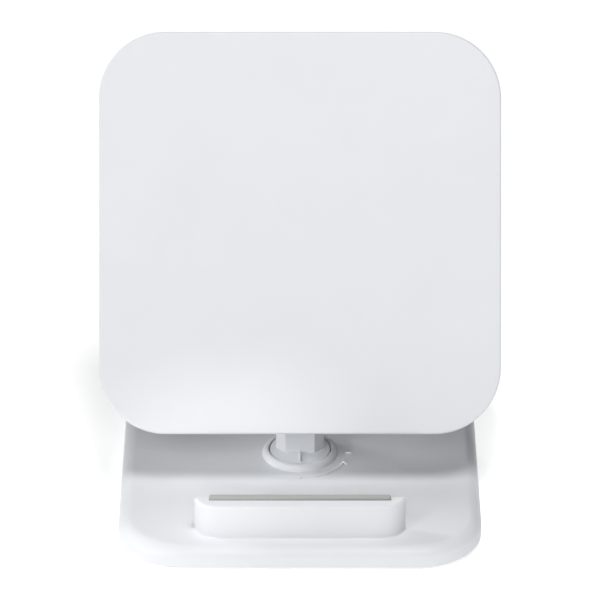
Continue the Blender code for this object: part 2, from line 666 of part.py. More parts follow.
def make_tilt_bracket():
    """Steel plate on the pad's rear with two ears round the hinge barrel."""
    plan = rounded(*BRACKET_SIZE, 0.0020, 4, 0.0, (0.0, HINGE_LOCAL.y))
    bracket = pad_helper("tilt_bracket", [prism(plan, BRACKET_REAR, BRACKET_FRONT)])
    ears = [prism(ear_outline(), *sorted((sign * EAR_INNER, sign * EAR_OUTER))) for sign in (-1, 1)]
    combine(bracket, hinge_helper("ear_blanks", ears), "UNION")
    bore = prism(circle(PIN_RADIUS + GAP, 20, HINGE_SPOT), -0.0120, 0.0120)
    combine(bracket, hinge_helper("ear_bore_cut", [bore]), "DIFFERENCE")
    holes = [turned([(0.0012, -0.0110), (0.0012, -0.0070)], 14, xy) for xy in BRACKET_SCREWS]
    combine(bracket, pad_helper("bracket_hole_cuts", holes), "DIFFERENCE")
    finish(bracket, STEEL)


def make_hinge_screw():
    """Screw along the hinge axis, its head on the right."""
    profile = [
        (PIN_RADIUS, -PIN_START - 0.0020),
        (PIN_RADIUS, PIN_START),
        (HINGE_HEAD_RADIUS, PIN_START),
        (HINGE_HEAD_RADIUS, PIN_START + 0.0010),
        (HINGE_HEAD_RADIUS - 0.0006, PIN_START + 0.0014),
    ]
    finish(hinge_helper("hinge_screw", [turned(profile, 20, HINGE_SPOT)]), STEEL)


def make_hinge_nut():
    """Hexagon nut on the left end of the hinge screw."""
    steps = 18
    hexagon = []
    for step in range(steps):
        angle = 2.0 * math.pi * step / steps
        reach = NUT_HALF_FLATS / math.cos((angle % (math.pi / 3.0)) - math.pi / 6.0)
        hexagon.append((HINGE_SPOT[0] + reach * math.cos(angle), HINGE_SPOT[1] + reach * math.sin(angle)))
    bore = circle(PIN_RADIUS + 0.0001, steps, HINGE_SPOT)
    low, high = -PIN_START - NUT_HEIGHT, -PIN_START
    nut = [(hexagon, low), (hexagon, high), (bore, high), (bore, low)]
    finish(hinge_helper("hinge_nut", [nut], looped=True), STEEL)


def make_pad_screws():
    """Case and bracket screws, driven from the rear, and board screws, driven from the front."""
    for corner, xy in zip(PAD_CORNERS, CASE_SCREWS):
        pad_piece("case_screw_" + corner, [screw(xy, CASE_SCREW_SEAT, 0.0021, 0.0004, 0.0009, 0.0048)], STEEL)
    for side_name, xy in zip(("left", "right"), BRACKET_SCREWS):
        shape = screw(xy, BRACKET_REAR - GAP, 0.0016, 0.0009, 0.0009, 0.0046)
        pad_piece("bracket_screw_" + side_name, [shape], STEEL)
    seat = BOARD_FACE + GAP
    for side_name, xy in zip(("left", "right"), BOARD_SCREWS):
        shape = flipped(screw(xy, seat, 0.0016, 0.0007, 0.0008, 0.0030), seat)
        pad_piece("board_screw_" + side_name, [shape], STEEL)


make_base_cover()
make_lip_cushion()
make_base_plate()
make_ballast()
make_feet()
make_post()
make_friction_washers()
make_front_cover()
make_rear_cover()
make_coil_and_ferrite()
make_board()
make_electronics()
make_socket()
make_tilt_bracket()
make_hinge_screw()
make_hinge_nut()
make_pad_screws()
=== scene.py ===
"""Looks of the wireless charging stand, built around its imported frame."""
import json
import math

import bmesh
import bpy
from mathutils import Matrix, Vector


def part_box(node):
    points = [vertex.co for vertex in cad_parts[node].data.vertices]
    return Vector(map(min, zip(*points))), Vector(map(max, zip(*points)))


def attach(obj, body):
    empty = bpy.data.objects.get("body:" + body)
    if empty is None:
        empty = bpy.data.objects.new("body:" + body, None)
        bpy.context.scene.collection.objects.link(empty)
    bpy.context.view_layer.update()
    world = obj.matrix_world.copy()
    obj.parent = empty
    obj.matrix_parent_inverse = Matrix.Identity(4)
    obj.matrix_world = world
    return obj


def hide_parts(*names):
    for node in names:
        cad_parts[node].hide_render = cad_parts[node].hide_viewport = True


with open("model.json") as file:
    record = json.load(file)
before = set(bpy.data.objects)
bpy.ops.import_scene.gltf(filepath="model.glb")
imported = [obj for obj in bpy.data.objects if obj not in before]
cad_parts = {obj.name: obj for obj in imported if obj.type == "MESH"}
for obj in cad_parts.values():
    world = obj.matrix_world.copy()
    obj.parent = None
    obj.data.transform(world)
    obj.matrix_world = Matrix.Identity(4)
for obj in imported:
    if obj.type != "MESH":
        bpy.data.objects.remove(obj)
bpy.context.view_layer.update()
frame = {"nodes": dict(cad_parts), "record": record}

RECORD = frame["record"]
MOUNTS = {mount["name"]: mount for mount in RECORD["mounts"]}
JOINTS = {joint["name"]: joint for joint in RECORD["behaviour"]["joints"]}

# ------------------------------------------------------------------ places read from the frame
BASE_LOW, BASE_HIGH = (Vector(corner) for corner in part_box("base_cover"))
PLATE_LOW, PLATE_HIGH = (Vector(corner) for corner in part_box("base_plate"))
STRIP_LOW, STRIP_HIGH = (Vector(corner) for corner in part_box("lip_cushion"))
POST_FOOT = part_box("post")[0][2]
BASE_TOP = MOUNTS["phone_ledge"]["pos_m"][2]
DISC_TOP = JOINTS["post_twist"]["pos_m"][2]
HINGE = Vector(JOINTS["pad_tilt"]["pos_m"])
PAD_CENTRE = Vector(MOUNTS["phone_back_face"]["pos_m"])
PAD_NORMAL = Vector(MOUNTS["phone_back_face"]["axis"]).normalized()
PAD_UP = PAD_NORMAL.cross(Vector((1.0, 0.0, 0.0)))
PAD_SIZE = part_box("front_cover")[1][0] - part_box("front_cover")[0][0]
PAD_FRAME = Matrix((
    (1.0, PAD_UP.x, PAD_NORMAL.x, PAD_CENTRE.x),
    (0.0, PAD_UP.y, PAD_NORMAL.y, PAD_CENTRE.y),
    (0.0, PAD_UP.z, PAD_NORMAL.z, PAD_CENTRE.z),
    (0.0, 0.0, 0.0, 1.0),
))
HINGE_LOCAL = PAD_FRAME.inverted() @ HINGE
WORLD = Matrix.Identity(4)
# for a stack that runs along X, and for one that runs down the pad
ALONG_X = Matrix(((0, 0, 1, 0), (1, 0, 0, 0), (0, 1, 0, 0), (0, 0, 0, 1)))
ALONG_S = Matrix(((1, 0, 0, 0), (0, 0, -1, 0), (0, 1, 0, 0), (0, 0, 0, 1)))

# ------------------------------------------------------------------ sizes (metres, and degrees for angles)
GAP = 0.0003                    # between neighbours
EASE = 0.0001                   # smallest edge break
CUT_PAST = 0.001                # how far a cutter runs past a face
TIGHTEST = 0.00004              # corner radius left where an inset uses it up
TIGHTEST_REAR = 0.00005         # the same at the lip's rear

# base
BASE_WALL = 0.0016
BASE_CORNER = 0.0148
BASE_SHOULDER = 0.0026
BASE_DROP = 0.0023
SHOULDER_TURN = 60.0            # degrees of a quarter turn that the shoulder uses
BASE_FOOT_ROUND = 0.0004
TOP_RIM = 0.0006
CEILING_BEVEL = 0.0012
PLATE_EASE = 0.0002
FEET = {
    "front_left": (-0.0300, -0.0298), "rear_left": (-0.0300, 0.0298),
    "front_right": (0.0300, -0.0298), "rear_right": (0.0300, 0.0298),
}
FOOT_WELL = ((0.0025, 0.0), (0.0025, 0.0017), (0.0013, 0.0017), (0.0013, 0.0030))    # radius, height
FOOT_DISH = (0.0024, 0.00012)   # inset from the edge, depth
FOOT_RIM = 0.0021
FOOT_EASE = (0.00007, 0.00025)

# collar and twist lock
RING_OUTER = 0.0085
RING_BORE = 0.00715
RING_TOP = 0.0071
RING_ROUND = 0.0011
RING_FLARE = 0.0003
RING_ROOT = 0.0004
BORE_EASE = 0.0002
LOCK_FLOOR = (0.0034, 0.0046)   # underside and top of the floor in the collar
LOCK_CUT = (0.0028, 0.0052)
LOCK_HOLE = 0.0045
NOTCHES = (60.0, 180.0, 300.0)
NOTCH_RADII = (0.0038, 0.0066)
NOTCH_HALF_ANGLE = 19.0

# lock marks
MARK_RADIUS = 0.0110
MARK_HALF_WIDTH = 0.00022
MARK_HEIGHT = 0.0003
MARK_ROOT = 0.0003
ARC_START = -75.0
ARC_END = -27.0
ARC_EASE = 0.5
DOT_RADII = (0.00055, 0.00046, 0.00030)
ARROW_LEAD = 4.4
ARROW_TIP = 0.0009
ARROW_TAIL = -0.0006
ARROW_HALF = 0.0008
ARROW_TOP_SIZE = 0.78
BAR_LENGTH = 0.0014
BAR_CORNER = 0.00018

# lip and its cushion strip
LIP_WIDTH = 0.0473
LIP_FRONT = -0.0369
LIP_REAR = -0.0322
LIP_TOP = 0.0138
LIP_CORNER = 0.0060
LIP_REAR_CORNER = 0.0005
LIP_ROUND = 0.0006
LIP_REAR_ROUND = 0.0003
LIP_FLARE = 0.00045
LIP_ROOT = 0.0008
STRIP_CORNER = 0.00055
STRIP_FOOT_ROUND = 0.0004
STRIP_TOP_ROUND = 0.0005

# post
DISC_RADIUS = 0.00685
DISC_EDGE = 0.0002
NECK_RADIUS = 0.0042
LUGS = (90.0, 210.0, 330.0)
LUG_RADII = (0.0036, 0.0062)
LUG_HALF_ANGLE = 16.0
LUG_HEIGHTS = (0.0026, 0.0031)
POST_WIDTH = 0.0110
POST_CHAMFER = 0.0022
POST_EDGE = 0.00022
POST_FRONT = -0.0019
POST_REAR = 0.0058
POST_SHOULDER = 0.0200
HEAD_HALF_DEPTH = 0.0030
HEAD_CHAMFER = 0.0008
HEAD_DROP = 0.0010
COLUMN_ROOT = 0.0008
TICK_FOOT = (0.00026, -0.0060, 0.00009)     # half width, front end, corner
TICK_TOP = (0.00014, -0.00588, 0.00005)
TICK_ROOT = 0.0005
TICK_HEIGHTS = (-0.0004, 0.00030, 0.00042)  # above the disc
BARREL_RADIUS = 0.0034
BARREL_HALF = 0.0050
BARREL_EDGE = 0.0003
PIN_RADIUS = 0.0014
PIN_BORE_HALF = 0.0080

# pad
WALL = 0.0015
PAD_CORNER = 0.0149
PAD_THICKNESS = 0.0080
PAD_SPLIT = 0.0046
PAD_ROUND = 0.0005
FACE_RIM = 0.0015
SEAM_EASE = 0.00015
FRONT_BEVEL = 0.0004
REAR_BEVEL = 0.0010
REAR_ROUND = 0.0024
REAR_RIM = 0.0032
HUMP_SIZE = (0.0500, 0.0440)
HUMP_CORNER = 0.0070
HUMP_CENTRE_S = 0.0010
HUMP_DEPTH = 0.0150
HUMP_ROUND = 0.0022
HUMP_RIM = 0.0034
HUMP_FLARE = 0.0012
HUMP_ROOT = 0.0006
CAVITY_FRONT = -0.0056
BOSS_RADIUS = 0.0026
BOSS_FRONT = -0.0048
CASE_SCREWS = {
    "lower_left": (-0.0350, -0.0350), "upper_left": (-0.0350, 0.0350),
    "lower_right": (0.0350, -0.0350), "upper_right": (0.0350, 0.0350),
}
BRACKET_SCREWS = {"left": (-0.0099, HINGE_LOCAL.y), "right": (0.0099, HINGE_LOCAL.y)}
CASE_WELL = ((0.0027, -0.0090), (0.0024, -0.0077), (0.0024, -0.0072), (0.0014, -0.0072), (0.0014, -0.0040))
BRACKET_WELL = ((0.0012, -0.0090), (0.0012, -0.0042))
CASE_HEAD = (0.0021, 0.0005)    # radius, height
BRACKET_HEAD = (0.0016, 0.0009)
CASE_HEAD_SEAT = -0.0075
HEAD_SHANK = (0.0009, 0.0042)   # radius, length

# power socket
SOCKET_X = 0.0175
SOCKET_N = -0.0115
PORT_PLAN = (0.0096, 0.0038, 0.0019)        # width, height, corner
PORT_FLARE = 0.0005
SHELL_PLAN = (0.0089, 0.0032, 0.0016)
SHELL_LENGTH = 0.0073
SHELL_SHEET = 0.0003
SHELL_BACK = 0.0008
TONGUE_PLAN = (0.0066, 0.0007, 0.0002)
CONTACTS_PER_SIDE = 12
CONTACT_PITCH = 0.0005
CONTACT_HALF_WIDTH = 0.00012
CONTACT_FACES = (0.00033, 0.00040)
CONTACT_ENDS = (0.0050, 0.0012)             # behind the mouth

# hinge
BRACKET_PLAN = (0.0250, 0.0110, 0.0020)
BRACKET_SHEET = 0.0012
BRACKET_EDGE = 0.00012
WASHER = 0.0006
EAR = 0.0014
EAR_RADIUS = 0.0034
EAR_HALF_FOOT = 0.0042
EAR_BORE_HALF = 0.0120
BRACKET_HOLE = ((0.0012, -0.0110), (0.0012, -0.0070))
BOLT_TAIL = 0.0020
BOLT_HEAD = (0.0026, 0.0014)
BOLT_HEAD_ROUND = 0.0008
HEX_SOCKET = (0.0011, 0.0005, 0.0030)       # radius, floor, cutter end
NUT_HALF = 0.0025
NUT_CORNER = 0.00262
NUT_HEIGHT = 0.0017

# charging coil
COIL_FACES = (-0.0030, -0.0018)
COIL_RADII = (0.0090, 0.0215)
COIL_TURNS = 12
COIL_STEPS = 48
WIRE_FILL = 0.96


# ------------------------------------------------------------------ materials
SURFACE_IOR = 1.46
NOISE_LOW = 0.3                 # noise values mostly lie between these two
NOISE_HIGH = 0.7
GLOSS_FINENESS = 6.0            # gloss patches are this much smaller than colour patches


def shader_of(name):
    """New node material; returns it with its tree and Principled shader."""
    made = bpy.data.materials.new(name)
    made.use_nodes = True
    return made, made.node_tree, made.node_tree.nodes["Principled BSDF"]


def noise(tree, scale, detail, stretch=(1.0, 1.0, 1.0)):
    """Noise in object space, so that it stays put on its piece."""
    nodes, links = tree.nodes, tree.links
    place = nodes.new("ShaderNodeTexCoord")
    mapping = nodes.new("ShaderNodeMapping")
    mapping.inputs["Scale"].default_value = stretch
    texture = nodes.new("ShaderNodeTexNoise")
    texture.inputs["Scale"].default_value = scale
    texture.inputs["Detail"].default_value = detail
    links.new(place.outputs["Object"], mapping.inputs["Vector"])
    links.new(mapping.outputs["Vector"], texture.inputs["Vector"])
    return texture.outputs["Fac"]


def ramp(tree, source, low, high, socket):
    """Spread a 0 to 1 value between two numbers and feed a socket."""
    spread = tree.nodes.new("ShaderNodeMapRange")
    spread.inputs["From Min"].default_value = NOISE_LOW
    spread.inputs["From Max"].default_value = NOISE_HIGH
    spread.inputs["To Min"].default_value = low
    spread.inputs["To Max"].default_value = high
    tree.links.new(source, spread.inputs["Value"])
    tree.links.new(spread.outputs["Result"], socket)


def tint(tree, source, dark, light, socket):
    """Blend two close colours by a 0 to 1 value."""
    colours = tree.nodes.new("ShaderNodeValToRGB")
    colours.color_ramp.elements[0].position = NOISE_LOW
    colours.color_ramp.elements[1].position = NOISE_HIGH
    colours.color_ramp.elements[0].color = (*dark, 1.0)
    colours.color_ramp.elements[1].color = (*light, 1.0)
    tree.links.new(source, colours.inputs["Fac"])
    tree.links.new(colours.outputs["Color"], socket)


def grain(tree, shader, source, strength, depth):
    """Relief from a texture."""
    bump = tree.nodes.new("ShaderNodeBump")
    bump.inputs["Strength"].default_value = strength
    bump.inputs["Distance"].default_value = depth
    tree.links.new(source, bump.inputs["Height"])
    tree.links.new(bump.outputs["Normal"], shader.inputs["Normal"])


def surface(name, dark, light, rough, grain_size, grain_depth, strength=0.25, metallic=0.0,
            patch_size=0.015, stretch=(1.0, 1.0, 1.0)):
    """Material with soft colour patches, varying gloss and a fine grain."""
    made, tree, shader = shader_of(name)
    shader.inputs["Metallic"].default_value = metallic
    shader.inputs["IOR"].default_value = SURFACE_IOR
    tint(tree, noise(tree, 1.0 / patch_size, 3.0), dark, light, shader.inputs["Base Color"])
    gloss = noise(tree, GLOSS_FINENESS / patch_size, 2.0, stretch)
    ramp(tree, gloss, rough[0], rough[1], shader.inputs["Roughness"])
    grain(tree, shader, noise(tree, 1.0 / grain_size, 2.0, stretch), strength, grain_depth)
    return made


WHITE = surface("white_plastic", (0.775, 0.790, 0.815), (0.790, 0.805, 0.830), rough=(0.42, 0.50),
                grain_size=0.00025, grain_depth=0.00002)
RUBBER = surface("grey_rubber", (0.40, 0.425, 0.40), (0.43, 0.455, 0.43), rough=(0.74, 0.86),
                 grain_size=0.00018, grain_depth=0.00003, strength=0.5)
FOOT_RUBBER = surface("dark_rubber", (0.040, 0.040, 0.042), (0.060, 0.060, 0.062), rough=(0.72, 0.88),
                      grain_size=0.0003, grain_depth=0.00004, strength=0.5)
STEEL = surface("plated_steel", (0.50, 0.51, 0.53), (0.60, 0.61, 0.62), rough=(0.24, 0.38),
                grain_size=0.0006, grain_depth=0.00001, strength=0.2, metallic=1.0,
                patch_size=0.006, stretch=(1.0, 12.0, 12.0))
COPPER = surface("enamelled_copper", (0.62, 0.25, 0.11), (0.74, 0.33, 0.16), rough=(0.22, 0.34),
                 grain_size=0.0002, grain_depth=0.00001, strength=0.2, metallic=1.0)
FERRITE = surface("ferrite", (0.035, 0.035, 0.040), (0.070, 0.070, 0.078), rough=(0.50, 0.68),
                  grain_size=0.0002, grain_depth=0.00003, strength=0.4)
SOLDER_MASK = surface("solder_mask", (0.010, 0.110, 0.050), (0.020, 0.160, 0.075), rough=(0.25, 0.36),
                      grain_size=0.0004, grain_depth=0.00002, strength=0.3, patch_size=0.002)
EPOXY = surface("black_epoxy", (0.018, 0.018, 0.020), (0.034, 0.034, 0.036), rough=(0.42, 0.55),
                grain_size=0.0001, grain_depth=0.00001, strength=0.4)
CERAMIC = surface("ceramic", (0.45, 0.33, 0.20), (0.54, 0.40, 0.26), rough=(0.36, 0.50),
                  grain_size=0.0002, grain_depth=0.00001)


# ------------------------------------------------------------------ outlines
def circle(radius, steps, centre=(0.0, 0.0)):
    """Counter-clockwise circle."""
    angles = [2.0 * math.pi * step / steps for step in range(steps)]
    return [(centre[0] + radius * math.cos(a), centre[1] + radius * math.sin(a)) for a in angles]


def rounded(width, depth, corner, inset=0.0, steps=16, centre=(0.0, 0.0)):
    """Rounded rectangle at an inset; a negative inset grows it."""
    points = []
    radius = max(corner - inset, TIGHTEST)
    half_x = width / 2.0 - inset - radius
    half_y = depth / 2.0 - inset - radius
    for quarter_turn, (side_x, side_y) in enumerate(((1, 1), (-1, 1), (-1, -1), (1, -1))):
        for step in range(steps + 1):
            angle = math.pi / 2.0 * (quarter_turn + step / steps)
            x = centre[0] + side_x * half_x + radius * math.cos(angle)
            y = centre[1] + side_y * half_y + radius * math.sin(angle)
            points.append((x, y))
    return points


def lip_outline(inset, steps=20):
    """Lip plan: broad round front corners cut off by a straight rear edge."""
    radius = LIP_CORNER - inset
    rear_radius = max(LIP_REAR_CORNER - inset, TIGHTEST_REAR)
    rear = LIP_REAR - min(inset, LIP_REAR_ROUND)
    centre_x = LIP_WIDTH / 2.0 - LIP_CORNER
    centre_y = LIP_FRONT + LIP_CORNER
    rear_y = rear - rear_radius
    end = math.asin((rear_y - centre_y) / radius)
    rear_x = centre_x + radius * math.cos(end) - rear_radius
    right = []
    for step in range(steps + 1):
        angle = -math.pi / 2.0 + (end + math.pi / 2.0) * step / steps
        right.append((centre_x + radius * math.cos(angle), centre_y + radius * math.sin(angle)))
    rear_steps = 6
    for step in range(1, rear_steps + 1):
        angle = math.pi / 2.0 * step / rear_steps
        right.append((rear_x + rear_radius * math.cos(angle), rear_y + rear_radius * math.sin(angle)))
    return right + [(-x, y) for x, y in reversed(right)]


def softened(points, radius, steps=4):
    """Polygon with each corner rounded."""
    made = []
    count = len(points)
    for index in range(count):
        here = Vector(points[index])
        before = (Vector(points[index - 1]) - here).normalized()
        after = (Vector(points[(index + 1) % count]) - here).normalized()
        half = before.angle(after) / 2.0
        centre = here + (before + after).normalized() * radius / math.sin(half)
        start = here + before * radius / math.tan(half)
        sweep = math.pi - 2.0 * half
        arm = start - centre
        for step in range(steps + 1):
            turn = sweep * step / steps
            x = arm.x * math.cos(turn) - arm.y * math.sin(turn)
            y = arm.x * math.sin(turn) + arm.y * math.cos(turn)
            made.append((centre.x + x, centre.y + y))
    return made


def column_section(half_x, front, rear, chamfer):
    """Eight-sided column section with softened edges."""
    return softened([
        (half_x, front + chamfer), (half_x, rear - chamfer),
        (half_x - chamfer, rear), (chamfer - half_x, rear),
        (-half_x, rear - chamfer), (-half_x, front + chamfer),
        (chamfer - half_x, front), (half_x - chamfer, front),
    ], POST_EDGE)


def sector(inner, outer, start, end, steps):
    """Ring segment between two angles in degrees."""
    points = []
    for radius, first, last in ((outer, start, end), (inner, end, start)):
        for step in range(steps + 1):
            angle = math.radians(first + (last - first) * step / steps)
            points.append((radius * math.cos(angle), radius * math.sin(angle)))
    return points


def quarter(radius, top, steps=8):
    """(inset, height) pairs of a convex quarter round that ends at a height."""
    pairs = []
    for step in range(steps + 1):
        angle = math.pi / 2.0 * step / steps
        pairs.append((radius * (1.0 - math.cos(angle)), top - radius * (1.0 - math.sin(angle))))
    return pairs


def shoulder(width, drop, top, steps=12):
    """(inset, height) pairs that round a wall off and meet its flat top at a soft edge."""
    pairs = []
    end = math.radians(SHOULDER_TURN)
    for step in range(steps + 1):
        angle = end * step / steps
        inset = width * (1.0 - math.cos(angle)) / (1.0 - math.cos(end))
        pairs.append((inset, top - drop * (1.0 - math.sin(angle) / math.sin(end))))
    return pairs


def flare(radius, foot, steps=5):
    """(inset, height) pairs of a concave foot that starts wide at a height."""
    pairs = []
    for step in range(steps + 1):
        angle = math.pi / 2.0 * step / steps
        pairs.append((-radius * (1.0 - math.sin(angle)), foot + radius * (1.0 - math.cos(angle))))
    return pairs


# ------------------------------------------------------------------ meshes
def skin(mesh, rings, looped=False):
    """Join a stack of (outline, height) rings; cap the ends unless it loops."""
    levels = [[mesh.verts.new((x, y, height)) for x, y in outline] for outline, height in rings]
    pairs = list(zip(levels, levels[1:]))
    if looped:
        pairs.append((levels[-1], levels[0]))
    else:
        mesh.faces.new(list(reversed(levels[0])))
        mesh.faces.new(levels[-1])
    for lower, upper in pairs:
        count = len(lower)
        for index in range(count):
            after = (index + 1) % count
            mesh.faces.new((lower[index], lower[after], upper[after], upper[index]))


def prism(outline, low, high):
    """Straight extrusion as a stack."""
    return [(outline, low), (outline, high)]


def box(x0, x1, y0, y1, z0, z1):
    """Block between limits as a stack."""
    return prism([(x0, y0), (x1, y0), (x1, y1), (x0, y1)], z0, z1)


def turned(profile, steps, centre=(0.0, 0.0)):
    """Solid of revolution from (radius, height) pairs, bottom to top."""
    return [(circle(radius, steps, centre), height) for radius, height in profile]


def solid(name, stacks, place=WORLD, looped=False):
    """Object from stacks, placed by a matrix."""
    mesh = bmesh.new()
    for rings in stacks:
        skin(mesh, rings, looped)
    bmesh.ops.transform(mesh, matrix=place, verts=mesh.verts)
    data = bpy.data.meshes.new(name)
    mesh.to_mesh(data)
    mesh.free()
    made = bpy.data.objects.new(name, data)
    bpy.context.scene.collection.objects.link(made)
    return made


def fuse(target, other, operation):
    """Apply a Boolean and drop the helper."""
    step = target.modifiers.new(operation, "BOOLEAN")
    step.operation = operation
    step.solver = "EXACT"
    step.object = other
    graph = bpy.context.evaluated_depsgraph_get()
    result = bpy.data.meshes.new_from_object(target.evaluated_get(graph))
    target.modifiers.clear()
    spent = target.data
    target.data = result
    result.name = target.name
    bpy.data.meshes.remove(spent)
    bpy.data.objects.remove(other, do_unlink=True)


def dress(made, look, body, slot, *stands_for, crease=35.0, edge=0.0):
    """Material, shading and place in the frame."""
    made.data.materials.clear()
    made.data.materials.append(look)
    made.data.shade_smooth()
    made.data.set_sharp_from_angle(angle=math.radians(crease))
    if edge:
        bevel = made.modifiers.new("edges", "BEVEL")
        bevel.width = edge
        bevel.segments = 2
        bevel.limit_method = "ANGLE"
        bevel.angle_limit = math.radians(40.0)
        bevel.use_clamp_overlap = True
    normals = made.modifiers.new("normals", "WEIGHTED_NORMAL")
    normals.keep_sharp = True
    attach(made, body)
    if stands_for:
        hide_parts(*stands_for)


# ------------------------------------------------------------------ base
def base_outline(inset):
    """Base plan at an inset from its wall."""
    return rounded(BASE_HIGH.x - BASE_LOW.x, BASE_HIGH.y - BASE_LOW.y, BASE_CORNER, inset, 22)


def cover_blank():
    """Hollow base cover before the collar, lip and marks join it."""
    ceiling = BASE_TOP - BASE_WALL
    foot = BASE_LOW.z
    rings = [
        (base_outline(BASE_WALL + CEILING_BEVEL), ceiling),
        (base_outline(BASE_WALL), ceiling - CEILING_BEVEL),
        (base_outline(BASE_WALL), foot + EASE),
        (base_outline(BASE_WALL - EASE), foot),
    ]
    for inset, height in reversed(quarter(BASE_FOOT_ROUND, 0.0, 4)):
        rings.append((base_outline(inset), foot - height))
    for inset, height in shoulder(BASE_SHOULDER, BASE_DROP, BASE_TOP):
        rings.append((base_outline(inset), height))
    rings.append((base_outline(BASE_SHOULDER + TOP_RIM), BASE_TOP))
    return solid("base_shell", [rings])


def lip_blank():
    """Front lip with a soft foot and a rounded top edge."""
    rings = [(lip_outline(-LIP_FLARE), BASE_TOP - LIP_ROOT)]
    for inset, height in flare(LIP_FLARE, BASE_TOP):
        rings.append((lip_outline(inset), height))
    for inset, height in quarter(LIP_ROUND, LIP_TOP, 8):
        rings.append((lip_outline(inset), height))
    return solid("lip_blank", [rings])


def collar_blank():
    """Raised ring: soft foot, full rounded shoulder."""
    foot = BASE_TOP - 0.00002       # just under the top face, so that the two don't share a plane
    profile = [(RING_OUTER + RING_FLARE, LOCK_FLOOR[0]), (RING_OUTER + RING_FLARE, BASE_TOP - RING_ROOT)]
    for inset, height in flare(RING_FLARE, foot):
        profile.append((RING_OUTER - inset, height))
    for inset, height in quarter(RING_ROUND, RING_TOP, 10):
        profile.append((RING_OUTER - inset, height))
    return solid("collar_blank", [turned(profile, 128)])


def mark_blanks():
    """Raised lock marks: dot, arc with an arrowhead, and a bar."""
    low, high = BASE_TOP - MARK_ROOT, BASE_TOP + MARK_HEIGHT
    ease = MARK_HEIGHT * 0.4
    waist = high - ease
    near, far = MARK_RADIUS - MARK_HALF_WIDTH, MARK_RADIUS + MARK_HALF_WIDTH
    spot = (0.0, -MARK_RADIUS)
    foot_radius, brow_radius, top_radius = DOT_RADII
    brow = high - ease * 0.3
    levels = ((foot_radius, low), (foot_radius, waist), (brow_radius, brow), (top_radius, high))
    dot = [(circle(radius, 32, spot), height) for radius, height in levels]
    arc = [(sector(near, far, ARC_START, ARC_END, 36), low),
           (sector(near, far, ARC_START, ARC_END, 36), waist),
           (sector(near + ease, far - ease, ARC_START + ARC_EASE, ARC_END - ARC_EASE, 36), high)]
    tip_angle = math.radians(ARC_END + ARROW_LEAD)
    tip = Vector((math.cos(tip_angle), math.sin(tip_angle)))
    side = Vector((-tip.y, tip.x))
    arrow = []
    for size, height in ((1.0, low), (1.0, waist), (ARROW_TOP_SIZE, high)):
        corners = []
        for along, across in ((ARROW_TIP, 0.0), (ARROW_TAIL, -ARROW_HALF), (ARROW_TAIL, ARROW_HALF)):
            point = tip * (MARK_RADIUS + across * size) + side * along * size
            corners.append((point.x, point.y))
        arrow.append((softened(corners, EASE * size), height))
    bar = [(rounded(BAR_LENGTH, 2 * MARK_HALF_WIDTH, BAR_CORNER, inset, 5, (MARK_RADIUS, 0.0)), height)
           for inset, height in ((0.0, low), (0.0, waist), (ease, high))]
    return solid("mark_blanks", [dot, arc, arrow, bar])


def bore_blank():
    """What the collar's bore takes away, with an eased mouth."""
    mouth = RING_BORE + BORE_EASE
    profile = [(RING_BORE, LOCK_FLOOR[1]), (RING_BORE, RING_TOP - BORE_EASE),
               (RING_BORE + BORE_EASE * 0.4, RING_TOP - BORE_EASE * 0.3), (mouth, RING_TOP),
               (mouth, RING_TOP + CUT_PAST)]
    return solid("bore_cut", [turned(profile, 128)])


def build_cover():
    """Base cover with its lip, collar, marks, twist lock and the rabbet for the strip."""
    shell = cover_blank()
    fuse(shell, lip_blank(), "UNION")
    fuse(shell, collar_blank(), "UNION")
    fuse(shell, mark_blanks(), "UNION")
    fuse(shell, bore_blank(), "DIFFERENCE")
    fuse(shell, solid("lock_hole_cut", [prism(circle(LOCK_HOLE, 48), *LOCK_CUT)]), "DIFFERENCE")
    notches = []
    for middle in NOTCHES:
        notch = sector(*NOTCH_RADII, middle - NOTCH_HALF_ANGLE, middle + NOTCH_HALF_ANGLE, 8)
        notches.append(prism(notch, *LOCK_CUT))
    fuse(shell, solid("notch_cuts", notches), "DIFFERENCE")
    rabbet = box(STRIP_LOW.x - GAP / 2, STRIP_HIGH.x + GAP / 2, STRIP_LOW.y - GAP / 2, LIP_REAR + CUT_PAST,
                 STRIP_LOW.z - GAP / 2, LIP_TOP + CUT_PAST)
    fuse(shell, solid("rabbet_cut", [rabbet]), "DIFFERENCE")
    dress(shell, WHITE, "base", "white_plastic", "base_cover")


def build_plate():
    """Flat underside with a stepped well for each foot."""
    plan = (PLATE_HIGH.x - PLATE_LOW.x, PLATE_HIGH.y - PLATE_LOW.y, BASE_CORNER - BASE_WALL)
    levels = ((PLATE_EASE, PLATE_LOW.z), (0.0, PLATE_LOW.z + PLATE_EASE), (0.0, PLATE_HIGH.z))
    plate = solid("base_underside", [[(rounded(*plan, inset, 22), height) for inset, height in levels]])
    wells = [turned(FOOT_WELL, 32, spot) for spot in FEET.values()]
    fuse(plate, solid("well_cuts", wells), "DIFFERENCE")
    dress(plate, WHITE, "base", "white_plastic", "base_plate")


def build_strip():
    """Rubber strip in the lip's rabbet."""
    size = STRIP_HIGH - STRIP_LOW
    middle = ((STRIP_HIGH.x + STRIP_LOW.x) / 2, (STRIP_HIGH.y + STRIP_LOW.y) / 2)
    rings = []
    for inset, height in reversed(quarter(STRIP_FOOT_ROUND, 0.0, 4)):
        rings.append((rounded(size.x, size.y, STRIP_CORNER, inset, 6, middle), STRIP_LOW.z - height))
    for inset, height in quarter(STRIP_TOP_ROUND, STRIP_HIGH.z, 6):
        rings.append((rounded(size.x, size.y, STRIP_CORNER, inset, 6, middle), height))
    dress(solid("lip_strip", [rings]), RUBBER, "base", "grey_rubber", "lip_cushion")


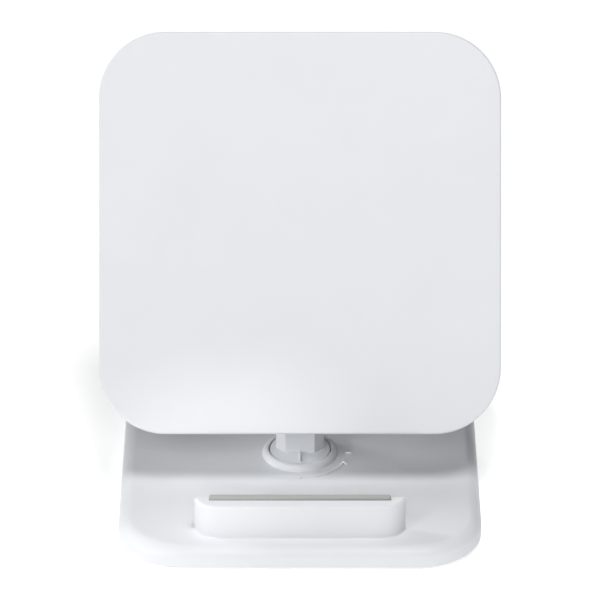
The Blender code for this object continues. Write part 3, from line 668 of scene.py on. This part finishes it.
def build_feet():
    """Four dished rubber feet."""
    for name, spot in FEET.items():
        low, high = (Vector(corner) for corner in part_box("foot_" + name))
        radius = (high.x - low.x) / 2
        near, far = FOOT_EASE
        profile = [(radius - FOOT_DISH[0], FOOT_DISH[1]), (radius - FOOT_RIM, 0.0), (radius - far, 0.0),
                   (radius - near, near), (radius, far), (radius, high.z)]
        dress(solid("rubber_foot_" + name, [turned(profile, 64, spot)]), FOOT_RUBBER, "base", "dark_rubber",
              "foot_" + name)


# ------------------------------------------------------------------ post
def tick_blank():
    """Narrow raised line on the disc, from near its front edge back to the column."""
    back = POST_FRONT + TICK_ROOT
    plans = []
    for half, front, corner in (TICK_FOOT, TICK_FOOT, TICK_TOP):
        plans.append(softened([(-half, front), (half, front), (half, back), (-half, back)], corner))
    return solid("tick_blank", [[(plan, DISC_TOP + height) for plan, height in zip(plans, TICK_HEIGHTS)]])


def build_post():
    """Disc with its tick, chamfered column and hinge barrel."""
    ledge = LOCK_FLOOR[1] + GAP
    disc = [(NECK_RADIUS, POST_FOOT), (NECK_RADIUS, ledge), (DISC_RADIUS, ledge)]
    for inset, height in quarter(DISC_EDGE, DISC_TOP, 5):
        disc.append((DISC_RADIUS - inset, height))
    post = solid("post_body", [turned(disc, 128)])
    levels = (
        (POST_WIDTH / 2, POST_FRONT, POST_REAR, POST_CHAMFER, DISC_TOP - COLUMN_ROOT),
        (POST_WIDTH / 2, POST_FRONT, POST_REAR, POST_CHAMFER, POST_SHOULDER),
        (BARREL_HALF, HINGE.y - HEAD_HALF_DEPTH, HINGE.y + HEAD_HALF_DEPTH, HEAD_CHAMFER,
         HINGE.z - HEAD_DROP),
    )
    column = [(column_section(*level[:4]), level[4]) for level in levels]
    fuse(post, solid("column_blank", [column]), "UNION")
    spot = (HINGE.y, HINGE.z)
    ends = []
    for inset, height in reversed(quarter(BARREL_EDGE, 0.0, 3)):
        ends.append((circle(BARREL_RADIUS - inset, 64, spot), -BARREL_HALF - height))
    for inset, height in quarter(BARREL_EDGE, BARREL_HALF, 3):
        ends.append((circle(BARREL_RADIUS - inset, 64, spot), height))
    fuse(post, solid("barrel_blank", [ends], ALONG_X), "UNION")
    fuse(post, tick_blank(), "UNION")
    bore = prism(circle(PIN_RADIUS + GAP, 40, spot), -PIN_BORE_HALF, PIN_BORE_HALF)
    fuse(post, solid("pin_bore_cut", [bore], ALONG_X), "DIFFERENCE")
    lugs = [prism(sector(*LUG_RADII, middle - LUG_HALF_ANGLE, middle + LUG_HALF_ANGLE, 8), *LUG_HEIGHTS)
            for middle in LUGS]
    fuse(post, solid("lug_blanks", lugs), "UNION")
    dress(post, WHITE, "post", "white_plastic", "post")


# ------------------------------------------------------------------ pad
def pad_outline(inset):
    """Pad plan at an inset from its edge."""
    return rounded(PAD_SIZE, PAD_SIZE, PAD_CORNER, inset, 28)


def hump_outline(inset):
    """Rear hump plan at an inset from its foot."""
    return rounded(*HUMP_SIZE, HUMP_CORNER, inset, 14, (0.0, HUMP_CENTRE_S))


def build_pad_front():
    """Face cover: flat face, small edge round, straight side down to the seam."""
    rings = [
        (pad_outline(WALL + FRONT_BEVEL), -WALL),
        (pad_outline(WALL), -WALL - FRONT_BEVEL),
        (pad_outline(WALL), -PAD_SPLIT),
        (pad_outline(SEAM_EASE), -PAD_SPLIT),
        (pad_outline(0.0), -PAD_SPLIT + SEAM_EASE),
    ]
    for inset, height in quarter(PAD_ROUND, 0.0, 6):
        rings.append((pad_outline(inset), height))
    rings.append((pad_outline(FACE_RIM), 0.0))
    front = solid("pad_face_shell", [rings], PAD_FRAME)
    dress(front, WHITE, "pad", "white_plastic", "front_cover")


def rear_blank():
    """Hollow rear cover before the hump joins it."""
    seam = -PAD_SPLIT - GAP
    rings = [(pad_outline(REAR_RIM), -PAD_THICKNESS)]
    for inset, height in reversed(quarter(REAR_ROUND, 0.0, 10)):
        rings.append((pad_outline(inset), -PAD_THICKNESS - height))
    rings.append((pad_outline(0.0), seam - SEAM_EASE))
    rings.append((pad_outline(SEAM_EASE), seam))
    rings.append((pad_outline(WALL), seam))
    rings.append((pad_outline(WALL + REAR_BEVEL), -PAD_THICKNESS + WALL))
    return solid("pad_rear_shell", [rings], PAD_FRAME)


def hump_blank():
    """Rounded block on the rear cover, with a soft foot."""
    rings = [(hump_outline(HUMP_RIM), -HUMP_DEPTH)]
    for inset, height in reversed(quarter(HUMP_ROUND, 0.0, 10)):
        rings.append((hump_outline(inset), -HUMP_DEPTH - height))
    for inset, height in reversed(flare(HUMP_FLARE, 0.0, 7)):
        rings.append((hump_outline(inset), -PAD_THICKNESS - height))
    rings.append((hump_outline(-HUMP_FLARE), -PAD_THICKNESS + HUMP_ROOT))
    return solid("hump_blank", [rings], PAD_FRAME)


def build_pad_rear():
    """Rear cover with the hump, port and screw wells; returns where the socket goes."""
    rear = rear_blank()
    fuse(rear, hump_blank(), "UNION")
    bosses = [turned([(BOSS_RADIUS, -PAD_THICKNESS + HUMP_ROOT), (BOSS_RADIUS, BOSS_FRONT)], 32, spot)
              for spot in BRACKET_SCREWS.values()]
    fuse(rear, solid("boss_blanks", bosses, PAD_FRAME), "UNION")
    cavity = prism(hump_outline(WALL), -HUMP_DEPTH + WALL, CAVITY_FRONT)
    fuse(rear, solid("hump_cavity_cut", [cavity], PAD_FRAME), "DIFFERENCE")
    cuts = [turned(CASE_WELL, 36, spot) for spot in CASE_SCREWS.values()]
    cuts += [turned(BRACKET_WELL, 24, spot) for spot in BRACKET_SCREWS.values()]
    fuse(rear, solid("screw_cuts", cuts, PAD_FRAME), "DIFFERENCE")
    edge = HUMP_SIZE[1] / 2.0 - HUMP_CENTRE_S       # the hump's lower side, down from the pad's centre
    place = PAD_FRAME @ Matrix.Translation((SOCKET_X, 0.0, SOCKET_N)) @ ALONG_S
    levels = ((0.0, edge - 0.0045), (0.0, edge - 0.0004), (-PORT_FLARE, edge + EASE),
              (-PORT_FLARE, edge + CUT_PAST))
    port = [(rounded(*PORT_PLAN, inset, 10), height) for inset, height in levels]
    fuse(rear, solid("port_cut", [port], place), "DIFFERENCE")
    dress(rear, WHITE, "pad", "white_plastic", "rear_cover")
    return place, edge - CUT_PAST


def build_socket(place, mouth):
    """USB-C shell and the tongue with its contacts."""
    back = mouth - SHELL_LENGTH
    levels = ((0.0, back), (0.0, mouth - EASE), (EASE, mouth), (SHELL_SHEET - EASE, mouth),
              (SHELL_SHEET, mouth - EASE), (SHELL_SHEET, back + SHELL_BACK))
    rings = [(rounded(*SHELL_PLAN, inset, 10), height) for inset, height in levels]
    dress(solid("usb_shell", [rings], place), STEEL, "pad", "steel", "usb_socket")
    levels = ((0.0, back + SHELL_BACK + GAP), (0.0, mouth - 0.0008), (EASE, mouth - 0.0006))
    tongue = [(rounded(*TONGUE_PLAN, inset, 4), height) for inset, height in levels]
    dress(solid("usb_blade", [tongue], place), EPOXY, "pad", "black_plastic", "usb_tongue")
    contacts = []
    for side in (-1, 1):
        low, high = sorted(side * face for face in CONTACT_FACES)
        for index in range(CONTACTS_PER_SIDE):
            x = (index - (CONTACTS_PER_SIDE - 1) / 2) * CONTACT_PITCH
            contacts.append(box(x - CONTACT_HALF_WIDTH, x + CONTACT_HALF_WIDTH, low, high,
                                mouth - CONTACT_ENDS[0], mouth - CONTACT_ENDS[1]))
    dress(solid("usb_contacts", contacts, place), COPPER, "pad", "copper")


def cross_screw(name, spot, seat, head, node):
    """Pan head with a cross recess on a plain shank; the head rises from its seat towards the rear."""
    radius, height = head
    shank_radius, shank_length = HEAD_SHANK
    profile = [(radius * 0.45, seat - height), (radius * 0.78, seat - height * 0.92),
               (radius * 0.95, seat - height * 0.66), (radius, seat - height * 0.25), (radius, seat),
               (shank_radius, seat), (shank_radius, seat + shank_length)]
    screw = solid(name, [turned(profile, 48, spot)], PAD_FRAME)
    arm, half, floor = radius * 0.52, radius * 0.13, seat - height + height * 0.8 * 0.6
    for half_x, half_y in ((arm, half), (half, arm)):
        slot = box(spot[0] - half_x, spot[0] + half_x, spot[1] - half_y, spot[1] + half_y,
                   seat - height - CUT_PAST, floor)
        fuse(screw, solid("slot_cut", [slot], PAD_FRAME), "DIFFERENCE")
    dress(screw, STEEL, "pad", "steel", node)


# ------------------------------------------------------------------ hinge
BRACKET_FRONT = -PAD_THICKNESS - GAP
BRACKET_REAR = BRACKET_FRONT - BRACKET_SHEET
EAR_INNER = BARREL_HALF + WASHER + 2.0 * GAP
EAR_OUTER = EAR_INNER + EAR
HEAD_START = EAR_OUTER + GAP
HINGE_SPOT = (HINGE_LOCAL.y, HINGE_LOCAL.z)
HINGE_FRAME = PAD_FRAME @ ALONG_X


def build_bracket():
    """Sheet with two round-ended ears that hold the hinge screw."""
    width, depth, corner = BRACKET_PLAN
    levels = ((0.0002, BRACKET_REAR), (0.0, BRACKET_REAR + 0.0002), (0.0, BRACKET_FRONT))
    centre = (0.0, HINGE_LOCAL.y)
    rings = [(rounded(width, depth, corner, inset, centre=centre), height) for inset, height in levels]
    bracket = solid("hinge_bracket", [rings], PAD_FRAME)
    steps = 32
    arc = []
    for step in range(steps + 1):
        angle = math.pi + math.pi * step / steps
        across, out = EAR_RADIUS * math.cos(angle), EAR_RADIUS * math.sin(angle)
        arc.append((HINGE_SPOT[0] + across, HINGE_SPOT[1] + out))
    arc.append((HINGE_SPOT[0] + EAR_HALF_FOOT, BRACKET_FRONT - GAP))
    arc.append((HINGE_SPOT[0] - EAR_HALF_FOOT, BRACKET_FRONT - GAP))
    ears = [prism(arc, -EAR_OUTER, -EAR_INNER), prism(arc, EAR_INNER, EAR_OUTER)]
    fuse(bracket, solid("ear_blanks", ears, HINGE_FRAME), "UNION")
    bore = prism(circle(PIN_RADIUS + GAP, 40, HINGE_SPOT), -EAR_BORE_HALF, EAR_BORE_HALF)
    fuse(bracket, solid("bore_cut", [bore], HINGE_FRAME), "DIFFERENCE")
    holes = [turned(BRACKET_HOLE, 32, where) for where in BRACKET_SCREWS.values()]
    fuse(bracket, solid("hole_cuts", holes, PAD_FRAME), "DIFFERENCE")
    dress(bracket, STEEL, "pad", "steel", "tilt_bracket", edge=BRACKET_EDGE)


def build_hinge_screw():
    """Round-headed screw with a hexagon socket."""
    radius, height = BOLT_HEAD
    tail = -HEAD_START - BOLT_TAIL
    profile = [(PIN_RADIUS - 0.0002, tail), (PIN_RADIUS, tail + 0.0002), (PIN_RADIUS, HEAD_START),
               (radius, HEAD_START)]
    for inset, level in quarter(BOLT_HEAD_ROUND, HEAD_START + height, 7):
        profile.append((radius - inset, level))
    screw = solid("hinge_bolt", [turned(profile, 64, HINGE_SPOT)], HINGE_FRAME)
    hexagon, floor, end = HEX_SOCKET
    socket = prism(circle(hexagon, 6, HINGE_SPOT), HEAD_START + floor, HEAD_START + end)
    fuse(screw, solid("hex_cut", [socket], HINGE_FRAME), "DIFFERENCE")
    dress(screw, STEEL, "pad", "steel", "hinge_screw")


def build_hinge_nut():
    """Hexagon nut with eased corners."""
    steps = 48
    flats, eased = [], []
    for step in range(steps):
        angle = 2.0 * math.pi * step / steps
        reach = NUT_HALF / math.cos((angle % (math.pi / 3.0)) - math.pi / 6.0)
        for radius, store in ((reach, flats), (min(reach, NUT_CORNER), eased)):
            across, out = radius * math.cos(angle), radius * math.sin(angle)
            store.append((HINGE_SPOT[0] + across, HINGE_SPOT[1] + out))
    hole = circle(PIN_RADIUS + EASE, steps, HINGE_SPOT)
    low, high = -HEAD_START - NUT_HEIGHT, -HEAD_START
    nut = [(eased, low), (flats, low + 0.0002), (flats, high - 0.0002), (eased, high),
           (hole, high), (hole, low)]
    dress(solid("hinge_hex_nut", [nut], HINGE_FRAME, True), STEEL, "pad", "steel", "hinge_nut")


def build_hinge():
    """Bracket, hinge screw and nut, and the screws on the pad's rear."""
    build_bracket()
    build_hinge_screw()
    build_hinge_nut()
    for name, where in BRACKET_SCREWS.items():
        seat = BRACKET_REAR - GAP
        cross_screw("bracket_bolt_" + name, where, seat, BRACKET_HEAD, "bracket_screw_" + name)
    for name, where in CASE_SCREWS.items():
        cross_screw("case_bolt_" + name, where, CASE_HEAD_SEAT, CASE_HEAD, "case_screw_" + name)


# ------------------------------------------------------------------ inside the pad
def build_coil():
    """Flat spiral winding."""
    inner, outer = COIL_RADII
    wire = (outer - inner) / (COIL_TURNS + 1) / 2.0 * WIRE_FILL
    start = inner + wire * 1.04
    spread = outer - inner - 2.08 * wire
    middle = sum(COIL_FACES) / 2
    curve = bpy.data.curves.new("coil_winding", "CURVE")
    curve.dimensions = "3D"
    curve.bevel_depth = wire
    curve.bevel_resolution = 2
    curve.use_fill_caps = True
    line = curve.splines.new("POLY")
    count = COIL_TURNS * COIL_STEPS
    line.points.add(count)
    for index in range(count + 1):
        angle = 2.0 * math.pi * index / COIL_STEPS
        radius = start + spread * index / count
        spot = PAD_FRAME @ Vector((radius * math.cos(angle), radius * math.sin(angle), middle))
        line.points[index].co = (*spot, 1.0)
    curve.materials.append(COPPER)
    coil = bpy.data.objects.new("coil_winding", curve)
    bpy.context.scene.collection.objects.link(coil)
    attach(coil, "pad")
    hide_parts("charging_coil")


def finish_inner_nodes():
    """CAD nodes whose shape is right get finished materials."""
    looks = {"steel": STEEL, "ferrite": FERRITE, "board": SOLDER_MASK, "black_plastic": EPOXY,
             "ceramic": CERAMIC, "white_plastic": WHITE, "copper": COPPER, "dark_rubber": FOOT_RUBBER,
             "grey_rubber": RUBBER}
    for part in RECORD["subparts"]:
        node = frame["nodes"][part["node"]]
        look = looks[part["material_slot"]]
        for slot in node.material_slots:
            slot.material = look
        if not node.material_slots:
            node.data.materials.append(look)


# ------------------------------------------------------------------ studio
CAMERA_LENS = 256.1
CAMERA_PLACE = (0.0, -0.836, 0.509)
CAMERA_PITCH = 29.0
FLOOR_SIZE = 6.0                # half its side
FLOOR_GLOW = 0.40
SKY = 0.015
POST_SPOT_PLACE = (-0.628, -0.628, 0.229)
POST_SPOT_TARGET = (-0.0015, -0.002, 0.0078)
POST_SPOT_POWER = 38.0
POST_SPOT_ANGLE = 1.4
LAMP_SIZE = 0.35
LAMP_DISTANCE = 1.2
LAMP_TARGET = Vector((0.0, 0.0, 0.040))
LAMPS = {                       # azimuth from the front, height angle, power in watts
    "top": (20.0, 72.0, 7.35),
    "left_side": (-110.0, 30.0, 4.2),
    "left_front": (-35.0, 38.0, 2.25),
    "front": (0.0, 35.0, 2.6),
    "rear_right": (140.0, 50.0, 0.6),
}


def aim(name, data, place, target):
    """Lamp object at a place, pointing at a target."""
    lamp = bpy.data.objects.new(name, data)
    lamp.location = place
    lamp.rotation_euler = (Vector(place) - Vector(target)).to_track_quat("Z", "Y").to_euler()
    bpy.context.scene.collection.objects.link(lamp)


def soft_lamp(name, azimuth, height, power):
    """Square lamp on a sphere round the piece, aimed at it."""
    data = bpy.data.lights.new(name, "AREA")
    data.shape = "SQUARE"
    data.size = LAMP_SIZE
    data.energy = power
    turn, rise = math.radians(azimuth), math.radians(height)
    away = Vector((math.sin(turn) * math.cos(rise), -math.cos(turn) * math.cos(rise), math.sin(rise)))
    aim(name, data, LAMP_TARGET + LAMP_DISTANCE * away, LAMP_TARGET)


def post_spot():
    """Narrow lamp from the front left that reaches the post under the pad."""
    data = bpy.data.lights.new("post_spot", "SPOT")
    data.energy = POST_SPOT_POWER
    data.spot_size = math.radians(POST_SPOT_ANGLE)
    data.spot_blend = 0.4
    data.shadow_soft_size = 0.02
    aim("post_spot", data, POST_SPOT_PLACE, POST_SPOT_TARGET)


def build_floor():
    """Plain pale floor that glows a little, so that it stays white."""
    mesh = bmesh.new()
    bmesh.ops.create_grid(mesh, x_segments=1, y_segments=1, size=FLOOR_SIZE)
    data = bpy.data.meshes.new("floor")
    mesh.to_mesh(data)
    mesh.free()
    floor = bpy.data.objects.new("floor", data)
    bpy.context.scene.collection.objects.link(floor)
    look, tree, shader = shader_of("pale_floor")
    shader.inputs["Roughness"].default_value = 0.9
    shader.inputs["Specular IOR Level"].default_value = 0.1
    shader.inputs["Emission Color"].default_value = (1.0, 1.0, 1.0, 1.0)
    shader.inputs["Emission Strength"].default_value = FLOOR_GLOW
    tint(tree, noise(tree, 3.0, 2.0), (0.93, 0.93, 0.93), (0.95, 0.95, 0.95), shader.inputs["Base Color"])
    floor.data.materials.append(look)


def build_lights():
    """Faint even sky, the soft lamps and the spot."""
    world = bpy.data.worlds.new("studio")
    world.use_nodes = True
    backdrop = world.node_tree.nodes["Background"]
    backdrop.inputs["Color"].default_value = (1.0, 1.0, 1.0, 1.0)
    backdrop.inputs["Strength"].default_value = SKY
    bpy.context.scene.world = world
    for name, (azimuth, height, power) in LAMPS.items():
        soft_lamp(name, azimuth, height, power)
    post_spot()


def build_camera():
    """Long lens, looking down at the piece from the front."""
    data = bpy.data.cameras.new("camera")
    data.lens = CAMERA_LENS
    data.sensor_width = 36.0
    data.clip_end = 50.0
    camera = bpy.data.objects.new("camera", data)
    camera.location = CAMERA_PLACE
    camera.rotation_euler = (math.radians(90.0 - CAMERA_PITCH), 0.0, 0.0)
    bpy.context.scene.collection.objects.link(camera)
    bpy.context.scene.camera = camera
    bpy.context.scene.view_settings.view_transform = "Standard"


build_cover()
build_plate()
build_strip()
build_feet()
build_post()
build_pad_front()
build_socket(*build_pad_rear())
build_hinge()
build_coil()
finish_inner_nodes()
build_floor()
build_lights()
build_camera()

bpy.context.view_layer.update()
